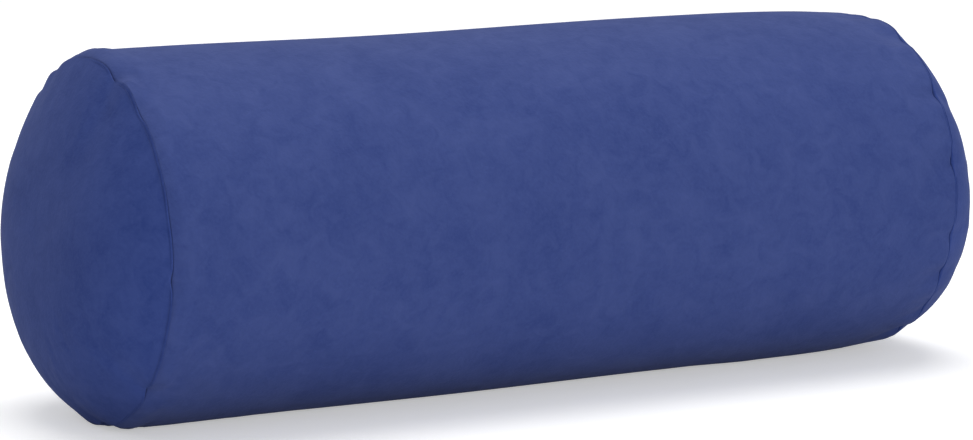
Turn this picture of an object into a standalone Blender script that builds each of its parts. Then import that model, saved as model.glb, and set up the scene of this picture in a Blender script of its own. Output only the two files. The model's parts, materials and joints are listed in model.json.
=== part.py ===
# A bolster pillow: a plush cover with round, sewn-in ends, the zip at its back, and the
# fabric-covered pad of fibre that it holds. The pillow lies along X, with its resting
# line at z = 0 and the zip on the +Y side.

import math

import bmesh
import bpy
import numpy as np

# Overall sizes, in metres
PILLOW_RADIUS = 0.089
SEAM_TO_SEAM = 0.432
END_BULGE = 0.027  # how far each end panel domes past its seam
REST_DEPTH = 0.002  # how much the pillow's own weight flattens it underneath

# The wall curves in to each end seam over this length and by this much.
SHOULDER_LENGTH = 0.037
SHOULDER_DROP = 0.003
SHOULDER_POWER = 3.0
END_POWER = 4.5  # a higher power makes an end flatter, with a tighter rim

COVER_WALL = 0.0016
LINER_WALL = 0.0008
SEAM_ALLOWANCE = 0.008
GAP = 0.0003  # between pieces that touch
SKIRT_GAP = 0.0006  # between a tube's hem and the skirt of the end panel sewn into it
THREAD_RADIUS = 0.00035
LINER_THREAD_RADIUS = 0.0002
LINER_END_SLACK = 0.0013  # room between the liner's end seams and the cover's seam allowance
LINER_DOME_SLACK = 0.0006
LINER_SHOULDER = 0.029
LINER_POWER = 5.0
FILLING_SLACK = 0.0009

# The zip
ZIP_HEIGHT_ANGLE = math.radians(22.5)  # above the horizontal, at the back
SEWN_STRETCH = 0.027  # straight wall sewn shut beyond each end of the zip opening
OPENING_WIDTH = 0.012
BACK_SEAM_GROOVE = 0.0012
TAPE_WIDTH = 0.014
TAPE_THICKNESS = 0.0006
TAPE_TAIL = 0.008
COIL_WIDTH = 0.002
COIL_HEIGHT = 0.0018
COIL_SPLIT = 0.0012  # between the two rows, where the slider's web runs
CHAIN_END = 0.004  # from the opening's end to the coils' end
STOP_LENGTH = 0.002
STOP_RISE = 0.0007  # the stops stand this much above the coils
STITCH_OFFSET = 0.0025  # from the opening's edge to the line of stitches
STITCH_WIDTH = 0.0006

# The slider and its pull tab
SLIDER_LENGTH = 0.012
SLIDER_WIDTH = 0.009
PLATE_THICKNESS = 0.001
FLANGE_WIDTH = 0.0009
WEB_WIDTH = 0.0006
BRIDGE_LENGTH = 0.0084
BRIDGE_WIDTH = 0.0016
BRIDGE_BAR = 0.001
TAB_LENGTH = 0.022
TAB_WIDTH = 0.0065
TAB_THICKNESS = 0.0012
TAB_PLAY = 0.00085  # above and below the tab's crossbar, inside the bridge

LABEL_LENGTH = 0.018
LABEL_DROP = 0.024
LABEL_THICKNESS = 0.0006
CLOSING_STITCH_LENGTH = 0.12

SEGMENTS = 32
DOME_FRACTIONS = np.array([0.93, 0.8, 0.6, 0.35])  # share of the dome's radius, rim to centre

# Worked out from the sizes above
HALF_SEAM = SEAM_TO_SEAM / 2
AXIS_HEIGHT = PILLOW_RADIUS - REST_DEPTH
STRAIGHT_HALF = HALF_SEAM - SHOULDER_LENGTH
OPENING_HALF = STRAIGHT_HALF - SEWN_STRETCH
TAPE_OUTER = PILLOW_RADIUS - COVER_WALL - GAP
TAPE_INNER = TAPE_OUTER - TAPE_THICKNESS
COIL_BASE = TAPE_OUTER + GAP
COIL_TOP = COIL_BASE + COIL_HEIGHT
CHAIN_HALF = OPENING_HALF - CHAIN_END
LOWER_PLATE_TOP = TAPE_INNER - GAP
LOWER_PLATE_BOTTOM = LOWER_PLATE_TOP - PLATE_THICKNESS
UPPER_PLATE_BOTTOM = COIL_TOP + GAP
UPPER_PLATE_TOP = UPPER_PLATE_BOTTOM + PLATE_THICKNESS
HINGE_DISTANCE = UPPER_PLATE_TOP + TAB_PLAY + TAB_THICKNESS / 2  # from the pillow's axis
SLIDER_X = CHAIN_HALF - SLIDER_LENGTH / 2

LINER_RADIUS = PILLOW_RADIUS - COVER_WALL - GAP
SKIRT_INSIDE = PILLOW_RADIUS - SHOULDER_DROP - 3 * COVER_WALL - SKIRT_GAP
LINER_END_RADIUS = SKIRT_INSIDE - LINER_END_SLACK
LINER_HALF = HALF_SEAM - SEAM_ALLOWANCE / 2
LINER_FLOOR = COVER_WALL + GAP
DENT_DEPTH = TAPE_THICKNESS + PLATE_THICKNESS + 3 * GAP  # room for the zip in the pad
DENT_HALF_ANGLE = (TAPE_WIDTH + 0.0235) / PILLOW_RADIUS
DENT_FADE = 0.023
DENT_FULL_HALF = OPENING_HALF + TAPE_TAIL

ANGLES = ZIP_HEIGHT_ANGLE + np.arange(SEGMENTS) * 2 * math.pi / SEGMENTS


def material(name, colour, roughness, metallic=0.0):
    made = bpy.data.materials.new(name)
    made.use_nodes = True
    shader = made.node_tree.nodes["Principled BSDF"]
    shader.inputs["Base Color"].default_value = (*colour, 1.0)
    shader.inputs["Roughness"].default_value = roughness
    shader.inputs["Metallic"].default_value = metallic
    made.diffuse_color = (*colour, 1.0)
    made.roughness = roughness
    made.metallic = metallic
    return made


def add_object(name, points, faces, look, smooth_angle=50):
    mesh = bpy.data.meshes.new(name)
    shape = bmesh.new()
    corners = [shape.verts.new(point) for point in np.reshape(points, (-1, 3)).tolist()]
    for face in faces:
        shape.faces.new([corners[index] for index in face])
    bmesh.ops.recalc_face_normals(shape, faces=shape.faces)
    shape.to_mesh(mesh)
    shape.free()
    mesh.shade_smooth()
    mesh.set_sharp_from_angle(angle=math.radians(smooth_angle))
    mesh.materials.append(look)
    made = bpy.data.objects.new(name, mesh)
    bpy.context.scene.collection.objects.link(made)
    return made


def grid_faces(rows, columns, close_rows, close_columns):
    """Quads over a grid whose points are numbered row by row."""
    last_row = rows if close_rows else rows - 1
    last_column = columns if close_columns else columns - 1
    faces = []
    for row in range(last_row):
        below = row * columns
        above = (row + 1) % rows * columns
        for column in range(last_column):
            after = (column + 1) % columns
            faces.append((below + column, below + after, above + after, above + column))
    return faces


def around(xs, radii, floors, angles=ANGLES):
    """One circle per row about the pillow's axis, cut off flat at that row's floor."""
    shape = (len(xs), np.shape(angles)[-1])
    radii = np.broadcast_to(np.reshape(radii, (len(xs), -1)), shape)
    heights = AXIS_HEIGHT + radii * np.sin(angles)
    heights = np.maximum(heights, np.reshape(floors, (-1, 1)))
    along = np.broadcast_to(np.reshape(xs, (-1, 1)), shape)
    return np.stack([along, radii * np.cos(angles), heights], axis=-1)


def cover_radius(x):
    """The cover's outer radius: straight, then curving in to the end seam."""
    run = np.maximum(np.abs(x) - STRAIGHT_HALF, 0) / SHOULDER_LENGTH
    return PILLOW_RADIUS - SHOULDER_DROP * run**SHOULDER_POWER


def liner_radius(x):
    start = LINER_HALF - LINER_SHOULDER
    run = np.maximum(np.abs(x) - start, 0) / LINER_SHOULDER
    return LINER_RADIUS - (LINER_RADIUS - LINER_END_RADIUS) * run**1.6


def zip_dent(xs, angles=ANGLES):
    """How far the pad is pressed in under the zip, fading out beyond the tapes."""
    turn = np.abs(np.angle(np.exp(1j * (angles - ZIP_HEIGHT_ANGLE))))
    across = np.where(turn < DENT_HALF_ANGLE, np.cos(turn / DENT_HALF_ANGLE * math.pi / 2), 0) ** 2
    along = np.clip(1 - (np.abs(xs) - DENT_FULL_HALF) / DENT_FADE, 0, 1)
    return DENT_DEPTH * np.outer(along, across)


def mirrored(half):
    """A list of positions on the +X side, joined to their mirror image."""
    half = np.asarray(half)
    return np.concatenate([-half[::-1], half])


def fold_rows(radius_at, half_length, wall, inner_breaks):
    """Outer and inner rows of a tube whose ends are folded under as seam allowance."""
    hem_start = half_length - SEAM_ALLOWANCE
    nose_start = half_length - wall
    half = [*inner_breaks, hem_start - 0.25 * wall, hem_start, nose_start, half_length]
    xs = mirrored(half)
    near_end = np.abs(xs) >= hem_start - 1e-9
    at_nose = np.abs(xs) >= half_length - 1e-9
    outer_depth = np.where(at_nose, 0.78 * wall, 0.0)
    inner_depth = np.where(at_nose, 1.34 * wall, np.where(near_end, 2 * wall, wall))
    return xs, radius_at(xs), outer_depth, inner_depth


def sewn_panel(name, side, radius_at, half_length, wall, bulge, power, floor, look):
    """A domed end panel, with the skirt of it that turns in under the tube's hem."""
    seam_radius = radius_at(half_length)
    skirt_xs = np.array([half_length - SEAM_ALLOWANCE, half_length - wall, half_length])
    skirt_depth = 2 * wall + SKIRT_GAP
    dome_radius = seam_radius - 0.875 * wall
    dome_start = half_length + wall
    height = bulge - wall
    radii = dome_radius * DOME_FRACTIONS
    dome_xs = dome_start + height * (1 - DOME_FRACTIONS**power)
    slope = height * power / dome_radius * DOME_FRACTIONS ** (power - 1)
    length = np.hypot(1, slope)
    outer_x = np.concatenate([skirt_xs, [dome_start], dome_xs])
    outer_r = np.concatenate([radius_at(skirt_xs) - skirt_depth, [dome_radius], radii])
    inner_x = np.concatenate([skirt_xs, [dome_start], dome_xs - wall / length])
    inner_r = np.concatenate(
        [
            radius_at(skirt_xs) - skirt_depth - wall,
            [seam_radius - 3 * wall],
            radii - wall * slope / length,
        ]
    )
    xs = np.concatenate([outer_x[::-1], inner_x]) * side
    circles = np.concatenate([outer_r[::-1], inner_r])
    dome_floors = np.full(len(DOME_FRACTIONS) + 1, floor)
    skirt_floor = floor + skirt_depth
    outer_floors = np.concatenate([np.full(3, skirt_floor), dome_floors])
    inner_floors = np.concatenate([np.full(3, skirt_floor + wall), dome_floors])
    rows = around(xs, circles, np.concatenate([outer_floors[::-1], inner_floors]))
    points = np.reshape(rows, (-1, 3))
    crown = (half_length + bulge) * side
    poles = [(crown, 0, AXIS_HEIGHT), (crown - wall * side, 0, AXIS_HEIGHT)]
    faces = grid_faces(len(xs), SEGMENTS, False, True)
    last = (len(xs) - 1) * SEGMENTS
    top = len(points)
    for column in range(SEGMENTS):
        after = (column + 1) % SEGMENTS
        faces.append((column, after, top))
        faces.append((last + column, last + after, top + 1))
    return add_object(name, np.concatenate([points, poles]), faces, look)


def thread_ring(name, side, seam_x, seam_radius, thread, look):
    """A thread laid round an end seam, as a ring of square section set on its corner."""
    offsets = np.array([[1, 0], [0, 1], [-1, 0], [0, -1]]) * thread
    xs = (seam_x + offsets[:, 0]) * side
    rows = around(xs, seam_radius + offsets[:, 1], np.full(4, GAP))
    return add_object(name, rows, grid_faces(4, SEGMENTS, True, True), look, 30)


def strip(name, xs, inner, outer, low, high, look, columns=1):
    """A strip of material along X at the zip, from low to high across it."""
    xs = np.asarray(xs, float)
    across = np.linspace(low, high, columns + 1)
    rows = []
    for radii in (inner, outer):
        radii = np.broadcast_to(radii, xs.shape)
        rows.append(around(xs, radii, np.full(len(xs), 0.0), ZIP_HEIGHT_ANGLE + across / TAPE_OUTER))
    loop = np.concatenate([rows[0], rows[1][:, ::-1]], axis=1)
    around_count = loop.shape[1]
    faces = grid_faces(len(xs), around_count, False, True)
    end = (len(xs) - 1) * around_count
    for column in range(columns):
        opposite = around_count - 1 - column
        corners = (column, column + 1, opposite - 1, opposite)
        faces.append(corners)
        faces.append(tuple(end + corner for corner in corners))
    return add_object(name, loop, faces, look, 30)


def extruded(name, outline, low, high, look, along_x=True):
    """An outline in the zip's own axes, pushed out along x (along the zip) or y (across it)."""
    outline = np.asarray(outline, float)
    depth = np.array([[low], [high]]) * np.ones(len(outline))
    first, second = (np.tile(outline[:, axis], (2, 1)) for axis in (0, 1))
    points = np.stack([depth, first, second] if along_x else [first, depth, second], axis=-1)
    count = len(outline)
    faces = grid_faces(2, count, False, True)
    faces.append(tuple(range(count)))
    faces.append(tuple(range(count, 2 * count)))
    return add_object(name, points, faces, look, 30)


def place_on_zip(piece, x, distance):
    """Sets a piece on the zip's centre line, with its own Z pointing out of the pillow."""
    piece.rotation_euler = (ZIP_HEIGHT_ANGLE - math.pi / 2, 0, 0)
    piece.location = (
        x,
        distance * math.cos(ZIP_HEIGHT_ANGLE),
        AXIS_HEIGHT + distance * math.sin(ZIP_HEIGHT_ANGLE),
    )


def add_boolean(target, tool, operation):
    tool.hide_render = True
    tool.display_type = "WIRE"
    modifier = target.modifiers.new(operation.title(), "BOOLEAN")
    modifier.operation = operation
    modifier.solver = "EXACT"
    modifier.object = tool


for existing in list(bpy.data.objects):
    bpy.data.objects.remove(existing, do_unlink=True)

plush = material("plush", (0.062, 0.088, 0.268), 0.95)
thread_look = material("cover_thread", (0.045, 0.062, 0.19), 0.7)
tape_look = material("zip_tape", (0.03, 0.042, 0.12), 0.85)
coil_look = material("zip_coil", (0.028, 0.036, 0.1), 0.4)
metal = material("painted_metal", (0.03, 0.04, 0.11), 0.35, 0.4)
label_look = material("label", (0.8, 0.8, 0.78), 0.8)
cotton = material("cotton", (0.82, 0.81, 0.77), 0.9)
cotton_thread = material("cotton_thread", (0.75, 0.74, 0.7), 0.8)
fibre = material("fibre", (0.9, 0.9, 0.89), 1.0)

# The cover's long panel is one sheet rolled into a tube. Its long edges meet at the back,
# closed up at both ends and open between them where the zip is sewn in.
xs, radii, outer_depth, inner_depth = fold_rows(
    cover_radius,
    HALF_SEAM,
    COVER_WALL,
    [OPENING_HALF, OPENING_HALF + COVER_WALL / 4, STRAIGHT_HALF, STRAIGHT_HALF + 0.45 * SHOULDER_LENGTH],
)
edge_offset = np.where(np.abs(xs) <= OPENING_HALF + 1e-9, OPENING_WIDTH / 2, BACK_SEAM_GROOVE / 2)
edge_angle = (edge_offset / PILLOW_RADIUS)[:, None]
half_step = math.pi / SEGMENTS
turns = np.concatenate([[ANGLES[0] + half_step], ANGLES[1:], [ANGLES[-1] + half_step]])
turns = np.broadcast_to(turns, (len(xs), SEGMENTS + 1))
sheet_angles = np.concatenate(
    [ANGLES[0] + edge_angle, turns, ANGLES[0] + 2 * math.pi - edge_angle], axis=1
)
sheets = [around(xs, radii - depth, depth, sheet_angles) for depth in (outer_depth, inner_depth)]
loop = np.concatenate([sheets[0], sheets[1][::-1]])
columns = SEGMENTS + 3
faces = grid_faces(len(loop), columns, True, False)
for row in range(len(xs) - 1):
    opposite = len(loop) - 1 - row
    corners = np.array([row, row + 1, opposite - 1, opposite]) * columns
    faces.append(tuple(corners))
    faces.append(tuple(corners + columns - 1))
add_object("cover_body", loop, faces, plush)

# The pad's own cotton tube, pressed in along the zip
liner_breaks = [DENT_FULL_HALF, DENT_FULL_HALF + DENT_FADE, LINER_HALF - 0.5 * LINER_SHOULDER]
xs, radii, outer_depth, inner_depth = fold_rows(liner_radius, LINER_HALF, LINER_WALL, liner_breaks)
dent = zip_dent(xs)
sheets = [
    around(xs, (radii - depth)[:, None] - dent, LINER_FLOOR + depth)
    for depth in (outer_depth, inner_depth)
]
loop = np.concatenate([sheets[0], sheets[1][::-1]])
add_object("liner_body", loop, grid_faces(len(loop), SEGMENTS, True, True), cotton)

liner_bulge = HALF_SEAM + END_BULGE - COVER_WALL - LINER_DOME_SLACK - LINER_HALF
for side, word in ((-1, "left"), (1, "right")):
    sewn_panel(
        f"cover_end_{word}", side, cover_radius, HALF_SEAM, COVER_WALL, END_BULGE, END_POWER, 0, plush
    )
    sewn_panel(
        f"liner_end_{word}",
        side,
        liner_radius,
        LINER_HALF,
        LINER_WALL,
        liner_bulge,
        LINER_POWER,
        LINER_FLOOR,
        cotton,
    )
    thread_ring(
        f"cover_seam_thread_{word}",
        side,
        HALF_SEAM + 0.47 * COVER_WALL,
        cover_radius(HALF_SEAM) - 0.69 * COVER_WALL,
        THREAD_RADIUS,
        thread_look,
    )
    thread_ring(
        f"liner_seam_thread_{word}",
        side,
        LINER_HALF + LINER_THREAD_RADIUS + GAP,
        LINER_END_RADIUS,
        LINER_THREAD_RADIUS,
        cotton_thread,
    )
    stretch = np.array([OPENING_HALF + COVER_WALL, STRAIGHT_HALF, HALF_SEAM - 2 * COVER_WALL])
    stretch = np.insert(stretch, 2, STRAIGHT_HALF + 0.45 * SHOULDER_LENGTH)
    half_thread = BACK_SEAM_GROOVE / 2 - GAP
    outer = cover_radius(stretch) - COVER_WALL / 2 + half_thread
    strip(
        f"back_seam_thread_{word}",
        stretch * side,
        outer - 2 * half_thread,
        outer,
        -half_thread,
        half_thread,
        thread_look,
    )

# The fibre filling fills the liner, with the same dent under the zip.
filling_depth = LINER_WALL + FILLING_SLACK
inside_fold = 3 * LINER_WALL + SKIRT_GAP + FILLING_SLACK
dome_radius = LINER_END_RADIUS - inside_fold - FILLING_SLACK
dome_start = LINER_HALF
crown = HALF_SEAM + END_BULGE - COVER_WALL - LINER_DOME_SLACK - LINER_WALL - FILLING_SLACK
dome_xs = dome_start + (crown - dome_start) * (1 - DOME_FRACTIONS**LINER_POWER)
tube_half = [DENT_FULL_HALF, DENT_FULL_HALF + DENT_FADE, LINER_HALF - 0.5 * LINER_SHOULDER]
tube_half.append(LINER_HALF - SEAM_ALLOWANCE - 2 * LINER_WALL)
tube_half = np.array(tube_half)
tube_depth = np.array([filling_depth, filling_depth, filling_depth + 0.0005, inside_fold])
half_xs = np.concatenate([tube_half, [dome_start], dome_xs])
half_radii = np.concatenate(
    [liner_radius(tube_half) - tube_depth, [dome_radius], dome_radius * DOME_FRACTIONS]
)
xs = mirrored(half_xs)
radii = np.concatenate([half_radii[::-1], half_radii])
rows = around(xs, radii[:, None] - zip_dent(xs), np.full(len(xs), LINER_FLOOR + filling_depth))
points = np.concatenate([np.reshape(rows, (-1, 3)), [(-crown, 0, AXIS_HEIGHT), (crown, 0, AXIS_HEIGHT)]])
faces = grid_faces(len(xs), SEGMENTS, False, True)
last = (len(xs) - 1) * SEGMENTS
for column in range(SEGMENTS):
    after = (column + 1) % SEGMENTS
    faces.append((column, after, len(points) - 2))
    faces.append((last + column, last + after, len(points) - 1))
add_object("fibre_filling", points, faces, fibre)

# The hand-sewn stitch that closes the liner lies in the hollow beside the upper tape.
closing_edge = TAPE_WIDTH + 0.006
strip(
    "liner_closing_stitch",
    [-CLOSING_STITCH_LENGTH / 2, CLOSING_STITCH_LENGTH / 2],
    TAPE_INNER - GAP,
    TAPE_INNER + GAP,
    closing_edge,
    closing_edge + 0.0006,
    cotton_thread,
)

# The zip: two tapes under the edges of the opening, a coil on each, and their stops
tape_half = OPENING_HALF + TAPE_TAIL
coil_from = COIL_SPLIT / 2
coil_to = coil_from + COIL_WIDTH
stitch_from = OPENING_WIDTH / 2 + STITCH_OFFSET
stitch_base = PILLOW_RADIUS + GAP
for way, word in ((1, "upper"), (-1, "lower")):
    tape_edges = way * coil_from, way * (coil_from + TAPE_WIDTH)
    strip(f"zip_tape_{word}", [-tape_half, tape_half], TAPE_INNER, TAPE_OUTER, *tape_edges, tape_look, 3)
    coil_edges = way * coil_from, way * coil_to
    chain = [-CHAIN_HALF, CHAIN_HALF]
    strip(f"zip_coil_{word}", chain, COIL_BASE, COIL_TOP, *coil_edges, coil_look)
    top_stop = [CHAIN_HALF + GAP, CHAIN_HALF + GAP + STOP_LENGTH]
    strip(f"zip_top_stop_{word}", top_stop, COIL_BASE, COIL_TOP + STOP_RISE, *coil_edges, metal)
    stitch_edges = way * stitch_from, way * (stitch_from + STITCH_WIDTH)
    line = [-OPENING_HALF, OPENING_HALF]
    strip(
        f"zip_stitch_{word}", line, stitch_base, stitch_base + STITCH_WIDTH, *stitch_edges, thread_look
    )
bottom_stop = [-CHAIN_HALF - GAP - STOP_LENGTH, -CHAIN_HALF - GAP]
strip("zip_bottom_stop", bottom_stop, COIL_BASE, COIL_TOP + STOP_RISE, -coil_to, coil_to, metal)

# The slider is two plates joined by a web that runs between the coils, with a flange
# down each side and a bridge on top for the pull tab.
half_width = SLIDER_WIDTH / 2
flange_inside = coil_to + GAP
flange_outside = flange_inside + FLANGE_WIDTH
right_half = [
    (half_width, LOWER_PLATE_BOTTOM),
    (half_width, LOWER_PLATE_TOP),
    (WEB_WIDTH / 2, LOWER_PLATE_TOP),
    (WEB_WIDTH / 2, UPPER_PLATE_BOTTOM),
    (flange_inside, UPPER_PLATE_BOTTOM),
    (flange_inside, COIL_BASE + GAP),
    (flange_outside, COIL_BASE + GAP),
    (flange_outside, UPPER_PLATE_BOTTOM),
    (half_width, UPPER_PLATE_BOTTOM),
    (half_width - GAP, UPPER_PLATE_TOP),
]
section = np.array(right_half + [(-y, z) for y, z in reversed(right_half)])
section[:, 1] -= COIL_TOP
slider = extruded("zip_slider", section, -SLIDER_LENGTH / 2, SLIDER_LENGTH / 2, metal)
place_on_zip(slider, SLIDER_X, COIL_TOP)

bridge_base = UPPER_PLATE_TOP - COIL_TOP
bridge_inside = bridge_base + 2 * TAB_PLAY + TAB_THICKNESS
bridge_top = bridge_inside + BRIDGE_BAR
half_bridge = BRIDGE_LENGTH / 2
sunk = bridge_base - PLATE_THICKNESS / 2
arch = [
    (half_bridge, sunk),
    (half_bridge, bridge_inside),
    (half_bridge - BRIDGE_BAR, bridge_top),
    (BRIDGE_BAR - half_bridge, bridge_top),
    (-half_bridge, bridge_inside),
    (-half_bridge, sunk),
    (BRIDGE_BAR - half_bridge, sunk),
    (BRIDGE_BAR - half_bridge, bridge_inside),
    (half_bridge - BRIDGE_BAR, bridge_inside),
    (half_bridge - BRIDGE_BAR, sunk),
]
bridge = extruded("bridge_tool", arch, -BRIDGE_WIDTH / 2, BRIDGE_WIDTH / 2, metal, along_x=False)
place_on_zip(bridge, SLIDER_X, COIL_TOP)
add_boolean(slider, bridge, "UNION")

# The tab lies along the zip, and its origin is on its crossbar, which it turns about.
half_bar = TAB_THICKNESS / 2
slot_end = half_bridge + 0.0007
corner = TAB_WIDTH / 2
round_end = [
    (corner - TAB_LENGTH - corner * math.sin(turn), corner * math.cos(turn))
    for turn in np.linspace(0, math.pi, 9)
]
outline = [(half_bar, -corner), (half_bar, corner), *round_end]
slot = [
    (-half_bar, -BRIDGE_WIDTH / 2 - GAP),
    (-slot_end, -BRIDGE_WIDTH / 2 - GAP),
    (-slot_end, BRIDGE_WIDTH / 2 + GAP),
    (-half_bar, BRIDGE_WIDTH / 2 + GAP),
]


def flat_plate(name, plan, thickness, look):
    """A plan outline in the zip's own x and y, given a thickness about z = 0."""
    plan = np.asarray(plan, float)
    levels = [np.column_stack([plan, np.full(len(plan), z)]) for z in (-thickness / 2, thickness / 2)]
    faces = grid_faces(2, len(plan), False, True)
    faces.append(tuple(range(len(plan))))
    faces.append(tuple(range(len(plan), 2 * len(plan))))
    return add_object(name, np.stack(levels), faces, look, 30)


tab = flat_plate("zip_pull_tab", outline, TAB_THICKNESS, metal)
slot_tool = flat_plate("slot_tool", slot, 2 * TAB_THICKNESS, metal)
for piece in (tab, slot_tool):
    place_on_zip(piece, SLIDER_X, HINGE_DISTANCE)
add_boolean(tab, slot_tool, "DIFFERENCE")

# A blank care label, folded double and caught in the back seam beyond the zip
label_start = -STRAIGHT_HALF + LABEL_LENGTH / 2
label_xs = np.array([label_start - LABEL_LENGTH, label_start])
label_base = PILLOW_RADIUS + GAP
strip(
    "care_label",
    label_xs,
    label_base,
    label_base + LABEL_THICKNESS,
    -LABEL_DROP - BACK_SEAM_GROOVE,
    -BACK_SEAM_GROOVE,
    label_look,
    4,
)
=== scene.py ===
import json
import math

import bmesh
import bpy
import numpy as np
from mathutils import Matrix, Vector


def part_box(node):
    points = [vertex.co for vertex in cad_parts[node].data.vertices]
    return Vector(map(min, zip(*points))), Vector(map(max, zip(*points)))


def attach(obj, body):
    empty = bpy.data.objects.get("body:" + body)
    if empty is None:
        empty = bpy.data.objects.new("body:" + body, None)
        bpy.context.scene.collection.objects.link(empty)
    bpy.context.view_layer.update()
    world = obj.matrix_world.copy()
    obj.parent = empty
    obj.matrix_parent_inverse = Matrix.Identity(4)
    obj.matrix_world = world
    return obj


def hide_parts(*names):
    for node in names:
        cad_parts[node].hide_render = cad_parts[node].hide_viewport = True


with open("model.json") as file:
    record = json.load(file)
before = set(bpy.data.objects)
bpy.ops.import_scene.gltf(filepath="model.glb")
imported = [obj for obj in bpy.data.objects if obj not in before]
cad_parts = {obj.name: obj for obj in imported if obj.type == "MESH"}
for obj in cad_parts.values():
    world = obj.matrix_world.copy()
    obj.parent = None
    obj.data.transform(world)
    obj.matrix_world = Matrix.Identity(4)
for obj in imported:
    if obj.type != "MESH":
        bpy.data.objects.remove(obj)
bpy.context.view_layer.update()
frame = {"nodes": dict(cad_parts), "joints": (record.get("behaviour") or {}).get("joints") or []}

# The pillow's own measures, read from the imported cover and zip
coverLow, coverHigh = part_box("cover_body")
pillowRadius = -coverLow.y  # at the front, where the cover is plain
axisHeight = coverHigh.z - pillowRadius
cadSeam = coverHigh.x
hinge = next(joint for joint in frame["joints"] if joint["name"] == "pull_tab_hinge")
zipAngle = math.atan2(hinge["axis"][1], -hinge["axis"][2])  # above the horizontal, at the back
zipOut = np.array([0, math.cos(zipAngle), math.sin(zipAngle)])  # out of the pillow at the zip
zipUp = np.array([0, -math.sin(zipAngle), math.cos(zipAngle)])  # across the zip, upwards

pillow = {
    "seamX": cadSeam + 0.0021,  # the fabric's seams stand a little past the solid's
    "floorSoftness": 0.0006,
    "calmAngle": 14,  # degrees each side of the zip where the fabric is held smooth
    "coverWall": 0.0012,
}

# Each end's shape: how the tube draws in to it, how far and how squarely it domes, how much
# its lower part hangs out, and its puckers as (degrees above the front's middle, depth, width,
# reach along the tube, reach over the end, slant), in millimetres.
leftEnd = {
    "side": -1,
    "seamRadius": 0.0868,
    "shoulder": 0.0080,
    "bulge": 0.0284,
    "squareness": 3.4,
    "sag": 0.166,
    "sagTop": 0.40,
    "puckers": [
        (96, 1.0, 24, 4, 26, 0.0),
        (71, 3.4, 6, 7, 26, 0.5),
        (61, -0.9, 5, 5, 9, 0.1),
        (51, 1.7, 7, 8, 17, -0.5),
        (33, 0.5, 8, 9, 12, 0.2),
        (15, 0.5, 7, 7, 8, -0.2),
        (-4, 2.3, 4.2, 6, 9, 0.1),
        (-24, 0.3, 9, 9, 9, 0.2),
        (-46, 2.7, 4.6, 6, 16, -0.4),
        (-62, 0.7, 8, 9, 12, 0.2),
        (-81, 2.6, 6, 12, 16, 0.4),
    ],
    "show": [
        (-180, 0.5), (-90, 0.4), (-60, 0.02), (-12, 0.0), (-3, 0.2), (18, 0.15), (30, 0.02),
        (52, 0.02), (62, 0.15), (90, 0.4), (180, 0.5),
    ],
    "puckerShow": 0.45,
    "seed": 4,
}
rightEnd = {
    "side": 1,
    "seamRadius": 0.0860,
    "shoulder": 0.0894,
    "bulge": 0.0287,
    "squareness": 6.2,
    "sag": 0.259,
    "sagTop": 0.30,
    "puckers": [
        (92, 1.2, 20, 14, 14, 0.0),
        (84, 1.0, 6, 10, 12, 0.3),
        (63, 1.9, 6, 12, 12, -0.2),
        (37, 2.6, 5, 11, 14, 0.4),
        (12, 2.3, 5, 12, 12, 0.3),
        (-14, 2.1, 5, 12, 12, -0.2),
        (-28, 2.0, 5, 9, 12, 0.3),
        (-44, 1.3, 6, 10, 12, -0.3),
        (-60, 3.0, 5, 12, 14, 0.2),
        (-80, 1.6, 6, 10, 12, 0.2),
    ],
    "show": [(-180, 0.5), (-95, 0.4), (-85, 0.06), (85, 0.06), (95, 0.4), (180, 0.5)],
    "puckerShow": 1.0,
    "seed": 11,
}
hiddenPuckers = {  # spread over the side away from the front, in the same measures
    "count": 9,
    "from": 100,
    "to": 265,
    "depth": (0.8, 2.1),
    "width": (5, 8),
    "reach": (8, 16),
}


# A smooth rise from 0 at low to 1 at high: three times the square, less twice the cube
def smoothStep(low, high, x):
    run = np.clip((x - low) / (high - low), 0, 1)
    return run * run * (3 - 2 * run)


def angleBetween(angles, centre):
    return np.angle(np.exp(1j * (angles - centre)))


# The listed puckers, with seeded ones spread over the side away from the front
def allPuckers(end):
    rng = np.random.default_rng(end["seed"])
    spec = hiddenPuckers
    count = spec["count"]
    step = (spec["to"] - spec["from"]) / count
    degrees = spec["from"] + step * (np.arange(count) + rng.uniform(0.2, 0.8, count))
    hidden = np.column_stack(
        [
            degrees,
            rng.uniform(*spec["depth"], count),
            rng.uniform(*spec["width"], count),
            rng.uniform(*spec["reach"], count),
            rng.uniform(*spec["reach"], count),
            rng.uniform(-0.5, 0.5, count),
        ]
    )
    rows = np.vstack([np.array(end["puckers"], float), hidden])
    rows[:, 0] = math.pi - np.radians(rows[:, 0])
    rows[:, 1:5] /= 1000
    return rows


# Each pucker is a bell across the seam that widens and fades with distance from it. Column 3
# of the list is its reach along the tube and column 4 its reach over the end.
def puckerDepth(end, angles, distance, reachColumn):
    angles, distance = np.broadcast_arrays(angles, distance)
    total = np.zeros(angles.shape)
    for centre, depth, width, *rest in allPuckers(end):
        reach, slant = rest[reachColumn - 3], rest[2]
        across = angleBetween(angles, centre) * pillowRadius - slant * distance
        spread = width * (1 + distance / 0.014)
        bell = np.exp(-np.abs(across / spread) ** 1.7)
        total += depth * bell * np.exp(-((distance / reach) ** 1.3))
    return total


# A slow wave along a seam, so that it isn't a perfect ring
def seamWander(end, angles):
    rng = np.random.default_rng(end["seed"] + 50)
    total = 0
    for turns in (2, 3, 5, 8):
        total = total + rng.uniform(0.3, 0.7) / turns * np.sin(turns * angles + rng.uniform(0, 6.28))
    return 0.0016 * total * calmAtZip(angles)


# How far the fabric may wrinkle at an angle: 0 at the zip, rising smoothly to 1 away from it
def calmAtZip(angles):
    away = np.abs(angleBetween(angles, zipAngle))
    return smoothStep(math.radians(pillow["calmAngle"]), math.radians(2.2 * pillow["calmAngle"]), away)


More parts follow.
